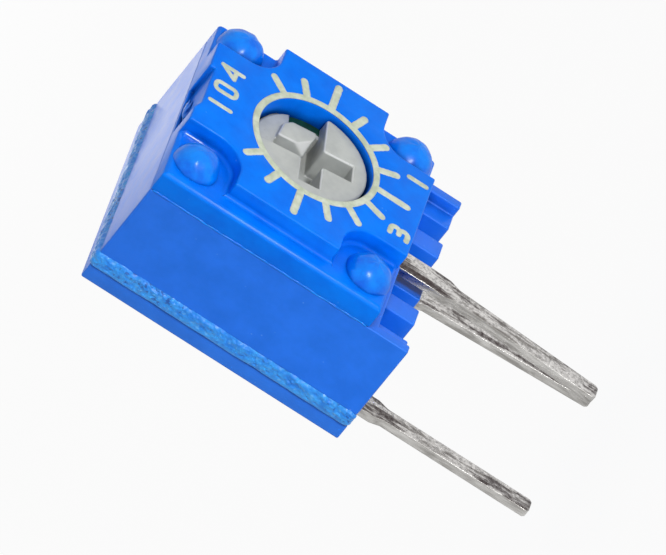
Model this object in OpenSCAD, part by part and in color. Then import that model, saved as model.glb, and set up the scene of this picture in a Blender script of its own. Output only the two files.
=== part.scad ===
// Single-turn trimmer potentiometer, side adjusted, for a printed circuit board.
//
// Millimetres, +Z up. The leads point down to the board at z = 0. The dial faces -Y,
// so the rotor turns about an axis along Y, and +X is to the right of the dial.
// The origin is where the middle lead, terminal 2, enters the board.
// Outlines are drawn in the plane of the dial, as (x, z), and are given their depth by slab().

/* [Body] */
// Width of the body across the dial
body_w = 6.71; // [6.5:0.01:7.5]
// Height of the dial cover
cover_h = 6.6; // [6.5:0.05:7.4]
// Height of the cover's lower edge above the board
stand_h = 1.2; // [1:0.05:1.6]
// Height of the underside of the housing above the board
belly_h = 0.95; // [0.6:0.05:0.95]
// Depth of the housing, from the cover to the sealed seam
housing_d = 2.52; // [2.45:0.01:3]
// Depth of the seam that the epoxy fills
seam_d = 0.47; // [0.42:0.01:0.7]
// Thickness of the back lid
lid_t = 0.5; // [0.3:0.05:1]
// Height that the epoxy stands proud of the sides
bead_proud = 0.08; // [0.02:0.01:0.12]
// Width of the epoxy frame inside the sides
bead_w = 0.5; // [0.3:0.05:0.55]

/* [Dial cover] */
// Thickness of the cover at its corners
flange_t = 0.68; // [0.6:0.01:0.9]
// Height of the raised dial plate on the cover
plate_t = 0.5; // [0.4:0.01:0.7]
// Width of the step at the left of the dial plate
plate_left = 0.555; // [0.45:0.005:0.7]
// Width of the step at the right of the dial plate
plate_right = 0.055; // [0.01:0.005:0.1]
// Distance of the dial below the middle of the cover
dial_drop = 0.08; // [0:0.01:0.1]
// Width of each corner notch of the dial plate
notch_w = 1.33; // [1.2:0.01:1.4]
// Height of each corner notch of the dial plate
notch_h = 1.73; // [1.5:0.01:1.8]
// Radius of the inner corner of each notch
notch_r = 0.8; // [0.3:0.05:0.85]
// Chamfer of the cover's front edges
edge_c = 0.1; // [0.05:0.01:0.15]
// Width of the moulding gate's recess in the cover's upper end
gate_w = 1.5; // [0.8:0.1:1.8]
// Depth of the gate's recess
gate_d = 0.14; // [0.1:0.02:0.3]
// Distance of the gate to the right of the middle of the body
gate_x = 0.15; // [0:0.05:0.8]

/* [Heat stakes] */
// Distance of the left stakes from the cover's left side
stake_left = 0.955; // [0.9:0.005:1]
// Distance of the right stakes from the cover's right side
stake_right = 0.655; // [0.63:0.005:0.7]
// Distance of the stakes from the cover's upper and lower edges
stake_in = 0.7; // [0.65:0.01:0.75]
// Diameter of the stakes
stake_d = 0.8; // [0.6:0.02:0.9]
// Diameter of the stakes' melted heads
head_d = 1.24; // [1.1:0.02:1.26]
// Height of the melted heads
head_h = 0.48; // [0.3:0.02:0.56]

/* [Rotor] */
// Diameter of the dial's hole
hole_d = 3.36; // [3.2:0.02:3.5]
// Radial gap between the rotor and the dial's hole
rotor_gap = 0.07; // [0.03:0.01:0.1]
// Depth of the rotor's face under the dial plate
rotor_sink = 0.15; // [0.05:0.01:0.2]
// Width of the cross slot
slot_w = 0.6; // [0.4:0.02:0.66]
// Length of the cross slot
slot_l = 2.34; // [2:0.02:2.4]
// Depth of the cross slot
slot_d = 1; // [0.8:0.01:1.05]
// Depth of the open quarter of the rotor's face
shelf_d = 0.33; // [0.25:0.01:0.36]
// Height of the pointer block over the open quarter
block_h = 0.18; // [0.1:0.01:0.24]
// Thickness of the rotor's head
head_t = 0.42; // [0.4:0.01:0.5]
// Turn of the cross slot from upright in the part's resting place, to the left
rest_turn = 9; // [0:1:20]
// Angle that the rotor turns through from stop to stop
travel = 260; // [200:5:280]
// Diameter of the neck under the rotor's head
neck_d = 2.66; // [2.6:0.02:2.7]
// Diameter of the rotor's flange inside the housing
rotor_flange_d = 4.2; // [4:0.05:4.4]
// Thickness of the rotor's flange
rotor_flange_t = 0.6; // [0.4:0.05:0.7]
// Diameter of the rotor's hub, which carries the wiper
hub_d = 2.4; // [2:0.05:2.8]

/* [Inside the housing] */
// Diameter of the rotor's chamber
chamber_d = 5.2; // [5.1:0.02:5.24]
// Radial length of the rotor's stop lug
lug_l = 0.4; // [0.2:0.02:0.42]
// Width of the stop lug, as an angle
lug_angle = 30; // [20:1:36]
// Width of the ceramic substrate
substrate_w = 5.4; // [5.3:0.02:5.6]
// Height of the ceramic substrate
substrate_h = 5.15; // [5.1:0.01:5.2]
// Thickness of the ceramic substrate
substrate_t = 0.63; // [0.5:0.01:0.7]
// Thickness of the printed films on the substrate
film_t = 0.02; // [0.01:0.005:0.03]
// Middle radius of the resistive track
track_r = 1.85; // [1.7:0.01:1.9]
// Width of the resistive track
track_w = 0.46; // [0.3:0.02:0.5]
// Gap in the resistive track, as an angle
track_gap = 80; // [70:2:100]
// Diameter of the collector's pad
collector_d = 1.5; // [1:0.05:1.8]
// Thickness of the wiper's sheet
wiper_t = 0.08; // [0.05:0.01:0.1]
// Width of the wiper's arms
wiper_w = 0.36; // [0.2:0.02:0.5]

/* [Terminals] */
// Pitch of the leads on the board
pitch = 2.54; // [2.5:0.01:2.58]
// Width of a lead
lead_w = 0.51; // [0.4:0.01:0.56]
// Thickness of a lead
lead_t = 0.25; // [0.2:0.01:0.28]
// Length of a lead under the board's surface
lead_l = 5.15; // [3:0.05:8]
// Width of a lead's shoulder
shoulder_w = 0.74; // [0.7:0.01:0.78]
// Length of the shoulder under the board's surface
shoulder_l = 0.45; // [0.2:0.05:0.8]
// Length over which the shoulder narrows to the lead
taper_l = 0.3; // [0.1:0.05:0.5]
// Extra length of terminal 1
lead_1_more = 0.55; // [0:0.05:1]
// Lean of terminal 1 towards the dial
lean_1 = 2.4; // [-3:0.1:3]
// Lean of terminal 2 towards the back
lean_2 = 3; // [-3:0.1:3]
// Setback of terminal 2 from the joint between the cover and the housing
lead_setback = 0.19; // [0.17:0.01:0.25]

/* [Printed marks] */
// Width of the printed ring round the dial's hole
ring_w = 0.22; // [0.1:0.01:0.3]
// Width of the printed strokes
stroke_w = 0.19; // [0.1:0.01:0.22]
// Height of the band under the ticks, which holds the terminals' numbers
number_band = 0.72; // [0.68:0.01:1]
// Distance of the lowest tick's end from the cover's lower edge
low_tick_in = 0.36; // [0.2:0.02:0.6]
// Distance of the side ticks' ends from the shoulders of the dial plate
side_tick_in = 0.19; // [0.1:0.01:0.5]
// Angle between neighbouring ticks
tick_step = 22.5; // [20:0.5:23]
// Thickness of the print
print_t = 0.03; // [0.01:0.01:0.05]
// Height of the terminals' numbers
mark_h = 0.66; // [0.5:0.02:0.7]
// Width of the number 3
mark_w = 0.46; // [0.4:0.02:0.5]
// Width of the figures' strokes
mark_stroke = 0.14; // [0.08:0.01:0.16]
// Height of the value's figures
figure_h = 0.74; // [0.6:0.02:0.8]
// Width of the value's figures
figure_w = 0.46; // [0.3:0.02:0.5]

/* [Hidden] */
$fn = 96;
eps = 0.02;
fit = 0.03;

// Levels along the depth, from the dial to the back
joint_y = -lead_setback;
flange_y = joint_y - flange_t;
plate_y = flange_y - plate_t;
seam_y = joint_y + housing_d;
lid_y = seam_y + seam_d;
back_y = lid_y + lid_t;

// Levels along the height
bead_z0 = 0.1;
cover_z0 = stand_h;
top_z = stand_h + cover_h;
mid_z = stand_h + cover_h / 2;
dial_z = mid_z - dial_drop;

// The dial plate and the stakes, across the body
plate_w = body_w - plate_left - plate_right;
dial_x = (plate_left - plate_right) / 2;
stake_dx = body_w - stake_left - stake_right;
stake_dz = cover_h - 2 * stake_in;
stake_x = (stake_left - stake_right) / 2;

// The rotor, from its face to its flange
face_y = plate_y + rotor_sink;
floor_y = face_y + slot_d;
shelf_y = face_y + shelf_d;
neck_y = face_y + head_t;
run_gap = 0.02;
rotor_flange_y = joint_y + run_gap;
rotor_r = hole_d / 2 - rotor_gap;

// The notch in the rotor's rim, which bares the seal, and the pointer block beside it
notch_x = 1.03;
notch_z = 0.6;
block_x = slot_w / 2;
block_root = 0.05;
block_z = 0.97;
block_slant = 0.13;
point_x = 0.92;
point_z = -0.13;

// The block's corner at the middle of the cross slopes down, from a line across the block's top
ramp_at = [0.53, 0.21];
ramp_turn = 130;
ramp_slope = 50;

// Space behind the rotor's flange, past which the chamber is round
lug_gap = 0.1;

// The gate's recess leaves a wall at the back, and runs out in a slope on the left
gate_wall = 0.12;
gate_run = 0.4;

// The seal ring fills the space between the neck and the cover's bore
seal_clear = 0.01;
seal_c = 0.06;

// Terminals and the substrate in front of them
lead_y = pitch;
tab_y = lead_y - lead_t / 2;
tab_w = 0.75;
tab_in = 0.14;
tab_z1 = 3;
tab_foot = 0.3;
neck_z = 1.3;
lead_root = 0.05;
tip_c = 0.08;
substrate_back = tab_y - film_t;
substrate_y = substrate_back - substrate_t;
substrate_z = 1.95;
ledge_y = substrate_y - film_t;
pocket_gap = 0.05;
pocket_w = substrate_w + 2 * pocket_gap;
pocket_z0 = substrate_z - pocket_gap;
pocket_z1 = substrate_z + substrate_h + pocket_gap;

// The hub ends where the wiper's sheet starts, and the arms reach back to the films
wiper_reach = 0.48;
wiper_touch = 0.01;
wiper_y = substrate_y - film_t - wiper_touch - wiper_reach;

// The jog that takes terminal 2 forward, through the housing's lower wall
jog_z0 = 1.42;
jog_z1 = jog_z0 + lead_t;

// Feet and bosses at the lower end, as widths, places and fronts
foot_thin_w = 0.3;
foot_w = 0.86;
foot_front = 0.32;
boss_w = 0.65;
boss_x = 1.48;
boss_front = 0.3;
keel_w = 0.7;
keel_front = 0.62;
keel_back = 1.8;

// Outer radii of the ticks
tick_r = dial_z - cover_z0 - number_band;
low_tick_r = dial_z - cover_z0 - low_tick_in;
side_tick_r = plate_w / 2 - side_tick_in;

// Places of the figures on the dial plate
mark_1_x = 1.17;
mark_3_x = 1.08;
mark_up = 0.43;
value_x = 0.09;
value_down = 0.62;
figure_gap = 0.24;

cover_blue = [0.02, 0.42, 0.95];
body_blue = [0.12, 0.36, 0.85];
epoxy_blue = [0.2, 0.55, 0.9];
rotor_grey = [0.78, 0.78, 0.77];
seal_green = [0, 0.18, 0.09];
print_cream = [0.86, 0.88, 0.76];
tin = [0.75, 0.74, 0.72];
ceramic_white = [0.93, 0.92, 0.88];
cermet_black = [0.12, 0.12, 0.13];
silver_film = [0.8, 0.8, 0.78];
spring_gold = [0.8, 0.68, 0.4];

// ---------------------------------------------------------------- helpers

// Gives an outline drawn as (x, z) its depth, from y0 to y1
module slab(y0, y1) {
    translate([0, y1, 0]) rotate([90, 0, 0]) linear_extrude(y1 - y0) children();
}

// A rectangle from (x0, z0) to (x1, z1)
module box2(x0, z0, x1, z1) {
    translate([x0, z0]) square([x1 - x0, z1 - z0]);
}

// Repeats its children on both sides of x
module both_sides(x) {
    for (side = [-1, 1]) translate([x, 0]) mirror([side < 0 ? 1 : 0, 0]) children();
}

// A straight stroke with round ends from a to b
module stroke(a, b, w = stroke_w) {
    run = b - a;
    translate(a) rotate(atan2(run[1], run[0])) translate([0, -w / 2]) square([norm(run), w]);
    for (end = [a, b]) translate(end) circle(d = w);
}

// A sector of a disc of radius r from angle a0 to a1, under 180 degrees wide
module sector(r, a0, a1) {
    reach = 2 * r;
    mid = (a0 + a1) / 2;
    intersection() {
        circle(r);
        polygon([[0, 0], reach * [cos(a0), sin(a0)], reach * [cos(mid), sin(mid)],
                 reach * [cos(a1), sin(a1)]]);
    }
}

// Places its children at each heat stake
module at_stakes() {
    for (sx = [-1, 1], sz = [-1, 1])
        translate([stake_x + sx * stake_dx / 2, mid_z + sz * stake_dz / 2]) children();
}

// ---------------------------------------------------------------- housing

// The feet and bosses that stand on the board, drawn from below as (x, y)
module feet() {
    both_sides(0) {
        box2(body_w / 2 - foot_thin_w, joint_y, body_w / 2, seam_y);
        box2(body_w / 2 - foot_w, joint_y + foot_front, body_w / 2, seam_y);
        box2(boss_x - boss_w / 2, joint_y + boss_front, boss_x + boss_w / 2, seam_y);
    }
    box2(-keel_w / 2, joint_y + keel_front, keel_w / 2, keel_back);
}

// The block that the rotor's lug meets at each end of its turn
module stop_block() {
    clear = 1;
    half = (360 - travel - lug_angle) / 2 - clear;
    in_r = rotor_flange_d / 2 + rotor_gap;
    translate([dial_x, dial_z]) difference() {
        sector(chamber_d / 2 + eps, 270 - half, 270 + half);
        circle(in_r);
    }
}

// The melted head of one stake, as a cap of a ball standing on the cover's corner
module stake_head() {
    base_r = head_d / 2;
    ball_r = (base_r * base_r + head_h * head_h) / (2 * head_h);
    rotate([90, 0, 0]) rotate_extrude() intersection() {
        translate([0, head_h - ball_r]) circle(ball_r);
        square([base_r, head_h]);
    }
}

module housing() {
    color(body_blue) {
        difference() {
            union() {
                slab(joint_y, seam_y) box2(-body_w / 2, belly_h, body_w / 2, top_z);
                linear_extrude(belly_h + eps) feet();
            }
            slab(joint_y - eps, ledge_y) difference() {
                translate([dial_x, dial_z]) circle(d = chamber_d);
                stop_block();
            }
            slab(rotor_flange_y + rotor_flange_t + lug_gap, ledge_y)
                translate([dial_x, dial_z]) circle(d = chamber_d);
            slab(ledge_y, seam_y + eps) box2(-pocket_w / 2, pocket_z0, pocket_w / 2, pocket_z1);
            terminal_2_path();
        }
        slab(flange_y, joint_y + eps) at_stakes() circle(d = stake_d);
        for (sx = [-1, 1], sz = [-1, 1])
            translate([stake_x + sx * stake_dx / 2, flange_y, mid_z + sz * stake_dz / 2])
                stake_head();
    }
}

// The channel for terminal 2, open to the seam, to the cover and downwards
module terminal_2_path() {
    half = lead_w / 2 + fit;
    wide = shoulder_w / 2 + fit;
    slab(-lead_t / 2 - fit, seam_y + eps) box2(-half, jog_z0 - fit, half, jog_z1 + fit);
    slab(joint_y - eps, lead_t / 2 + fit) box2(-wide, -eps, wide, jog_z1 + fit);
}

// ---------------------------------------------------------------- cover, lid and seam

// One corner notch of the dial plate, at the lower left of its outline
module corner_notch() {
    box2(-eps, -eps, notch_w - notch_r, notch_h);
    box2(-eps, -eps, notch_w, notch_h - notch_r);
    translate([notch_w - notch_r, notch_h - notch_r]) circle(notch_r);
}

module plate_outline() {
    translate([dial_x, mid_z]) difference() {
        square([plate_w, cover_h], center = true);
        for (sx = [0, 1], sz = [0, 1])
            mirror([sx, 0]) mirror([0, sz]) translate([-plate_w / 2, -cover_h / 2]) corner_notch();
    }
}

// Bevels the long edge of a flat face at y, on the side that side_x gives
module side_bevel(y, side_x, c, z0, z1) {
    translate([side_x, y, z0]) rotate([0, 0, 45])
        translate([-c / sqrt(2), -c / sqrt(2), 0]) cube([c * sqrt(2), c * sqrt(2), z1 - z0]);
}

// Bevels the edge of a flat face at y that runs across the part at the height z
module end_bevel(y, z, c, x0, x1) {
    translate([x0, y, z]) rotate([45, 0, 0])
        translate([0, -c / sqrt(2), -c / sqrt(2)]) cube([x1 - x0, c * sqrt(2), c * sqrt(2)]);
}

module gate_recess() {
    left = gate_x - gate_w / 2;
    right = gate_x + gate_w / 2;
    low = top_z - gate_d;
    polygon([[right, top_z + eps], [right, low], [left, low], [left - gate_run, top_z + eps]]);
}

module dial_cover() {
    color(cover_blue) difference() {
        union() {
            difference() {
                slab(flange_y, joint_y) box2(-body_w / 2, cover_z0, body_w / 2, top_z);
                for (side = [-1, 1])
                    side_bevel(flange_y, side * body_w / 2, edge_c, cover_z0 - eps, top_z + eps);
                for (z = [cover_z0, top_z])
                    end_bevel(flange_y, z, edge_c, -body_w, body_w);
            }
            slab(plate_y, joint_y - edge_c) plate_outline();
        }
        slab(plate_y - eps, joint_y + eps) translate([dial_x, dial_z]) circle(d = hole_d);
        slab(flange_y - eps, joint_y + eps) at_stakes() circle(d = stake_d);
        slab(plate_y - eps, joint_y - gate_wall) gate_recess();
    }
}

module back_lid() {
    color(body_blue) slab(lid_y, back_y) box2(-body_w / 2, 0, body_w / 2, top_z);
}

module sealing_bead() {
    half = body_w / 2;
    color(epoxy_blue) difference() {
        slab(seam_y, lid_y) difference() {
            box2(-half - bead_proud, bead_z0, half + bead_proud, top_z + bead_proud);
            box2(-half + bead_w, pocket_z0, half - bead_w, top_z - bead_w);
        }
        terminal_1();
        terminal_3();
        terminal_2();
        substrate();
        end_conductors();
        solder_joints();
    }
}

// ---------------------------------------------------------------- rotor and its seal

// The cross slot, in the rotor's own frame; the arm beside the pointer block ends where the block does
module cross_slot() {
    box2(-slot_w / 2, -slot_l / 2, slot_w / 2, block_z);
    square([slot_l, slot_w], center = true);
}

// The block that points from the open quarter to the notch, in the rotor's own frame
module pointer_block() {
    far = block_z - block_slant;
    polygon([[block_x, block_z], [block_x, block_root], [point_x, point_z], [notch_x, point_z],
             [notch_x, notch_z], [far, far]]);
}

module in_rotor_frame() {
    translate([dial_x, dial_z]) rotate(rest_turn) children();
}

// Takes the sloping corner off the pointer block, whose top lies at top_y
module ramp(top_y) {
    translate([0, top_y, 0]) rotate([90, 0, 0]) in_rotor_frame()
        translate(ramp_at) rotate(ramp_turn) rotate([-ramp_slope, 0, 0])
            translate([-rotor_r, 0, 0]) cube([2 * rotor_r, rotor_r, rotor_r]);
}

module rotor() {
    hub_end = wiper_y;
    flange_end = rotor_flange_y + rotor_flange_t;
    block_y = shelf_y - block_h;
    color(rotor_grey) {
        difference() {
            union() {
                slab(face_y, neck_y) in_rotor_frame() circle(rotor_r);
                slab(neck_y - eps, rotor_flange_y + eps) in_rotor_frame() circle(d = neck_d);
                slab(rotor_flange_y, flange_end) in_rotor_frame() circle(d = rotor_flange_d);
                slab(rotor_flange_y, flange_end) in_rotor_frame() difference() {
                    sector(rotor_flange_d / 2 + lug_l, 90 - lug_angle / 2, 90 + lug_angle / 2);
                    circle(rotor_r);
                }
                slab(flange_end - eps, hub_end) in_rotor_frame() circle(d = hub_d);
            }
            slab(face_y - eps, floor_y) in_rotor_frame() cross_slot();
            slab(face_y - eps, shelf_y) in_rotor_frame()
                box2(-slot_w / 2, -slot_w / 2, 2 * rotor_r, 2 * rotor_r);
            slab(face_y - eps, neck_y + eps) in_rotor_frame()
                box2(notch_x, -slot_w / 2, 2 * rotor_r, notch_z);
        }
        difference() {
            slab(block_y, floor_y + eps) in_rotor_frame() pointer_block();
            ramp(block_y);
        }
    }
}

module seal_ring() {
    in_r = neck_d / 2 + seal_clear;
    out_r = hole_d / 2 - seal_clear;
    long = joint_y - neck_y - 2 * run_gap;
    color(seal_green) translate([dial_x, joint_y - run_gap, dial_z]) rotate([90, 0, 0])
        rotate_extrude()
            polygon([[in_r + seal_c, 0], [out_r - seal_c, 0], [out_r, seal_c],
                     [out_r, long - seal_c], [out_r - seal_c, long], [in_r + seal_c, long],
                     [in_r, long - seal_c], [in_r, seal_c]]);
}

// The wiper: a washer on the hub, with one arm to the track and one to the collector
module wiper() {
    washer_y = wiper_y;
    tip_y = substrate_y - film_t - wiper_touch;
    hub_r = hub_d / 2;
    arm_r0 = hub_r - wiper_w;
    track_tip = track_r + wiper_w / 2;
    color(spring_gold) {
        slab(washer_y, washer_y + wiper_t) in_rotor_frame() {
            difference() {
                circle(hub_r);
                circle(arm_r0);
            }
            box2(-wiper_w / 2, arm_r0 + eps, wiper_w / 2, track_tip);
            box2(-wiper_w / 2, -arm_r0 - eps, wiper_w / 2, wiper_w / 2);
        }
        slab(washer_y, tip_y) in_rotor_frame() {
            box2(-wiper_w / 2, track_tip - wiper_t, wiper_w / 2, track_tip);
            box2(-wiper_w / 2, wiper_w / 2 - wiper_t, wiper_w / 2, wiper_w / 2);
        }
        slab(tip_y - wiper_t, tip_y) in_rotor_frame() {
            box2(-wiper_w / 2, track_r - wiper_w / 2, wiper_w / 2, track_tip);
            box2(-wiper_w / 2, -wiper_w / 2, wiper_w / 2, wiper_w / 2);
        }
    }
}

// ---------------------------------------------------------------- element

module substrate() {
    color(ceramic_white) slab(substrate_y, substrate_back)
        box2(-substrate_w / 2, substrate_z, substrate_w / 2, substrate_z + substrate_h);
}

module resistive_track() {
    out_r = track_r + track_w / 2;
    in_r = track_r - track_w / 2;
    color(cermet_black) slab(substrate_y - film_t, substrate_y) translate([dial_x, dial_z])
        difference() {
            circle(out_r);
            circle(in_r);
            sector(2 * out_r, 270 - track_gap / 2, 270 + track_gap / 2);
        }
}

// A film that runs down the front of the substrate, under it and up to a terminal's tab
module wrap_film(x0, x1, front_z1) {
    slab(substrate_y - film_t, substrate_y) box2(x0, substrate_z - film_t, x1, front_z1);
    slab(substrate_y - film_t, substrate_back + film_t)
        box2(x0, substrate_z - film_t, x1, substrate_z);
    slab(substrate_back, substrate_back + film_t) box2(x0, substrate_z - film_t, x1, tab_z1);
}

module end_conductors() {
    half_gap = track_gap / 2;
    end_z = dial_z - (track_r - track_w / 2) * cos(half_gap);
    inner_x = (track_r - track_w / 2) * sin(half_gap);
    tab_x0 = pitch + lead_w / 2 - tab_in - tab_w;
    color(silver_film) difference() {
        union() {
            wrap_film(dial_x + inner_x, tab_x0 + tab_w, end_z);
            wrap_film(-tab_x0 - tab_w, dial_x - inner_x, end_z);
        }
        resistive_track();
    }
}

module collector() {
    strip = 0.6;
    color(silver_film) {
        slab(substrate_y - film_t, substrate_y) {
            translate([dial_x, dial_z]) circle(d = collector_d);
            stroke([dial_x, dial_z], [0, substrate_z + strip], strip);
        }
        wrap_film(-strip / 2, strip / 2, substrate_z + strip);
    }
}

// ---------------------------------------------------------------- terminals

// A lead of length l and its shoulder, drawn as (x, z) with the board at 0
module lead_outline(l) {
    half = lead_w / 2;
    wide = shoulder_w / 2;
    polygon([[-wide, lead_root], [-wide, -shoulder_l], [-half, -shoulder_l - taper_l],
             [-half, tip_c - l], [tip_c - half, -l], [half - tip_c, -l], [half, tip_c - l],
             [half, -shoulder_l - taper_l], [wide, -shoulder_l], [wide, lead_root]]);
}

// A lead that leans from the board's surface down, towards the back for a lean above 0
module lead(l, lean) {
    rotate([lean, 0, 0]) slab(-lead_t / 2, lead_t / 2) lead_outline(l);
}

// An outer terminal on the right: its lead, and the tab that is soldered to the substrate
module outer_terminal(l, lean) {
    tab_x1 = lead_w / 2 - tab_in;
    wide = shoulder_w / 2;
    translate([pitch, lead_y, 0]) {
        lead(l, lean);
        slab(-lead_t / 2, lead_t / 2) {
            box2(-wide, 0, wide, neck_z);
            box2(tab_x1 - tab_w, neck_z - eps, tab_x1, tab_z1);
            box2(tab_x1 - tab_w, neck_z - tab_foot, lead_w / 2, neck_z);
        }
    }
}

module terminal_1() {
    color(tin) outer_terminal(lead_l + lead_1_more, -lean_1);
}

module terminal_3() {
    color(tin) mirror([1, 0, 0]) outer_terminal(lead_l, 0);
}

module terminal_2() {
    half = lead_w / 2;
    wide = shoulder_w / 2;
    color(tin) {
        lead(lead_l, lean_2);
        slab(-lead_t / 2, lead_t / 2) box2(-wide, 0, wide, jog_z0 + eps);
        slab(-lead_t / 2, lead_y + lead_t / 2) box2(-half, jog_z0, half, jog_z1);
        slab(lead_y - lead_t / 2, lead_y + lead_t / 2) box2(-half, jog_z0, half, tab_z1);
    }
}

module solder_joints() {
    blob_h = 0.1;
    blob_r = 0.3;
    tab_mid = pitch + lead_w / 2 - tab_in - tab_w / 2;
    blob_z = (substrate_z + tab_z1) / 2;
    color(tin) for (x = [-tab_mid, 0, tab_mid])
        translate([x, lead_y + lead_t / 2, blob_z]) rotate([-90, 0, 0])
            cylinder(h = blob_h, r = blob_r - (x == 0 ? blob_r - lead_w / 2 + fit : 0));
}

// ---------------------------------------------------------------- print on the dial plate

module printed() {
    color(print_cream) slab(plate_y - print_t, plate_y) children();
}

module dial_ring() {
    printed() translate([dial_x, dial_z]) difference() {
        circle(hole_d / 2 + ring_w);
        circle(d = hole_d);
    }
}

// Ticks round the ring, apart from the stretch above it; every fourth tick is long
module dial_ticks() {
    first = 135;
    count = 13;
    lowest = (count - 1) / 2;
    root = hole_d / 2 + ring_w;
    printed() translate([dial_x, dial_z]) for (i = [0 : count - 1]) {
        angle = first + i * tick_step;
        way = [cos(angle), sin(angle)];
        tip = i == lowest ? low_tick_r : i % 4 == 2 ? side_tick_r : tick_r;
        stroke((root + stroke_w / 2) * way, (tip - stroke_w / 2) * way);
    }
}

// The figure 1
module mark_1() {
    half = (mark_h - mark_stroke) / 2;
    printed() translate([dial_x + mark_1_x, stand_h + mark_up])
        stroke([0, -half], [0, half], mark_stroke);
}

// The figure 3: two bowls, open to the left, and the ends of the strokes that close them
module figure_3(h, w, stroke_width) {
    bowl = (h - stroke_width) / 4;
    left = bowl + stroke_width - w;
    for (s = [-1, 1]) {
        translate([0, s * bowl]) difference() {
            circle(bowl + stroke_width / 2);
            circle(bowl - stroke_width / 2);
            box2(-h, -h, 0, h);
        }
        stroke([left, s * 2 * bowl], [0, s * 2 * bowl], stroke_width);
    }
    stroke([left / 2, 0], [0, 0], stroke_width);
}

module mark_3() {
    printed() translate([dial_x - mark_3_x, stand_h + mark_up])
        figure_3(mark_h, mark_w, mark_stroke);
}

// A plain value: the figures 1, 0 and 4
module value_mark() {
    half_h = (figure_h - mark_stroke) / 2;
    half_w = (figure_w - mark_stroke) / 2;
    step = figure_w + figure_gap;
    bar_z = -half_h / 3;
    printed() translate([dial_x + value_x, top_z - value_down]) {
        translate([-step, 0]) stroke([0, -half_h], [0, half_h], mark_stroke);
        for (s = [-1, 1]) stroke([s * half_w, -half_h], [s * half_w, half_h], mark_stroke);
        for (s = [-1, 1]) stroke([-half_w, s * half_h], [half_w, s * half_h], mark_stroke);
        translate([step, 0]) {
            stroke([half_w, -half_h], [half_w, half_h], mark_stroke);
            stroke([-half_w, bar_z], [half_w, bar_z], mark_stroke);
            stroke([-half_w, bar_z], [half_w, half_h], mark_stroke);
        }
    }
}

housing();
dial_cover();
back_lid();
sealing_bead();
rotor();
seal_ring();
wiper();
substrate();
resistive_track();
end_conductors();
collector();
terminal_1();
terminal_2();
terminal_3();
solder_joints();
dial_ring();
dial_ticks();
mark_1();
mark_3();
value_mark();
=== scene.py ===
# %% [markdown]
# # A trimmer potentiometer, dressed in Blender
#
# A trimmer is a small variable resistor that a technician sets once with a screwdriver.
# Its blue body is a few millimetres wide. A grey rotor with a cross slot turns in a printed
# dial, and three flat tinned leads go into the circuit board.
#
# The solids come from CAD as a fixed frame. They could be shown as they are, but CAD edges are
# perfectly sharp and its plastic has no grain. So each visible solid is either finished with
# rounded edges and a material, or replaced by a surface that is worked out here.

# %% Load the frame
import math

import bmesh
import bpy
import numpy as np
from mathutils import Matrix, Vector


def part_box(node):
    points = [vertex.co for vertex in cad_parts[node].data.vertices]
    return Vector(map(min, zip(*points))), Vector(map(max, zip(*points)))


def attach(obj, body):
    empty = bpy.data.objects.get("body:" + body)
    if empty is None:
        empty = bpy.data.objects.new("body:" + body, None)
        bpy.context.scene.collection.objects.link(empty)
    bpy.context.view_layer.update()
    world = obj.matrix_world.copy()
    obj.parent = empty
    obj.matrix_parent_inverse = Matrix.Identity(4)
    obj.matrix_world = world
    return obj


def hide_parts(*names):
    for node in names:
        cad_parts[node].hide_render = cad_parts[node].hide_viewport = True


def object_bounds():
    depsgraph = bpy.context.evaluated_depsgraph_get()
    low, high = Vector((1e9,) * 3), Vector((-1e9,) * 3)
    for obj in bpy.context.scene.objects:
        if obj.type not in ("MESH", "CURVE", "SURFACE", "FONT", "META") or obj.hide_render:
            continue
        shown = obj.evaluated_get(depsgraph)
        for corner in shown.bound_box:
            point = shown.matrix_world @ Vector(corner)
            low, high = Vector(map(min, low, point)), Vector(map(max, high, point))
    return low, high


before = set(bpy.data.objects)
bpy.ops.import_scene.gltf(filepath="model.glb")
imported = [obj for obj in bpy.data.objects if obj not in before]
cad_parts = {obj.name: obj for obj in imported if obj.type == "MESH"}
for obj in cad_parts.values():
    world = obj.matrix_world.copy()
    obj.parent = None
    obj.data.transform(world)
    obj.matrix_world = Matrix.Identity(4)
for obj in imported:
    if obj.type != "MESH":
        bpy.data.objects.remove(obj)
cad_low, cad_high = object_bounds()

MM = 0.001
scene = bpy.context.scene
scene.view_settings.view_transform = "Standard"
print("CAD box in mm:", [round((b - a) / MM, 2) for a, b in zip(cad_low, cad_high)])

# %% [markdown]
# ## Places taken from the solids
#
# Everything that is added has to sit on the real part, so its place is read from the solids'
# boxes. Typing the numbers again would work too, until a size of the part changes.

# %% Read the levels and middles that the new pieces need
def edges_of(node):
    """Lowest and highest corner of a CAD node, in millimetres."""
    low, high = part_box(node)
    return np.array(low) / MM, np.array(high) / MM


HOUSING_LOW, HOUSING_HIGH = edges_of("housing")
COVER_LOW, COVER_HIGH = edges_of("dial_cover")
BEAD_LOW, BEAD_HIGH = edges_of("sealing_bead")
RING_LOW, RING_HIGH = edges_of("dial_ring")
TICKS_LOW, TICKS_HIGH = edges_of("dial_ticks")

PLATE_Y = COVER_LOW[1]
INK_Y = RING_LOW[1]
DIAL = (RING_LOW + RING_HIGH)[[0, 2]] / 2
RING_OUT = (RING_HIGH[0] - RING_LOW[0]) / 2
print("dial plate at y =", round(PLATE_Y, 3), "dial's middle", DIAL.round(3))

# %% [markdown]
# ## The camera
#
# The part is seen from its left and a little from above, with the camera rolled so far that
# the leads point down to the right. A long lens far away keeps the edges nearly parallel, which
# is how a very small thing looks. The camera's axes are worked out from three angles, and the
# camera is set back along its own view line from the point that it looks at.

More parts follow.
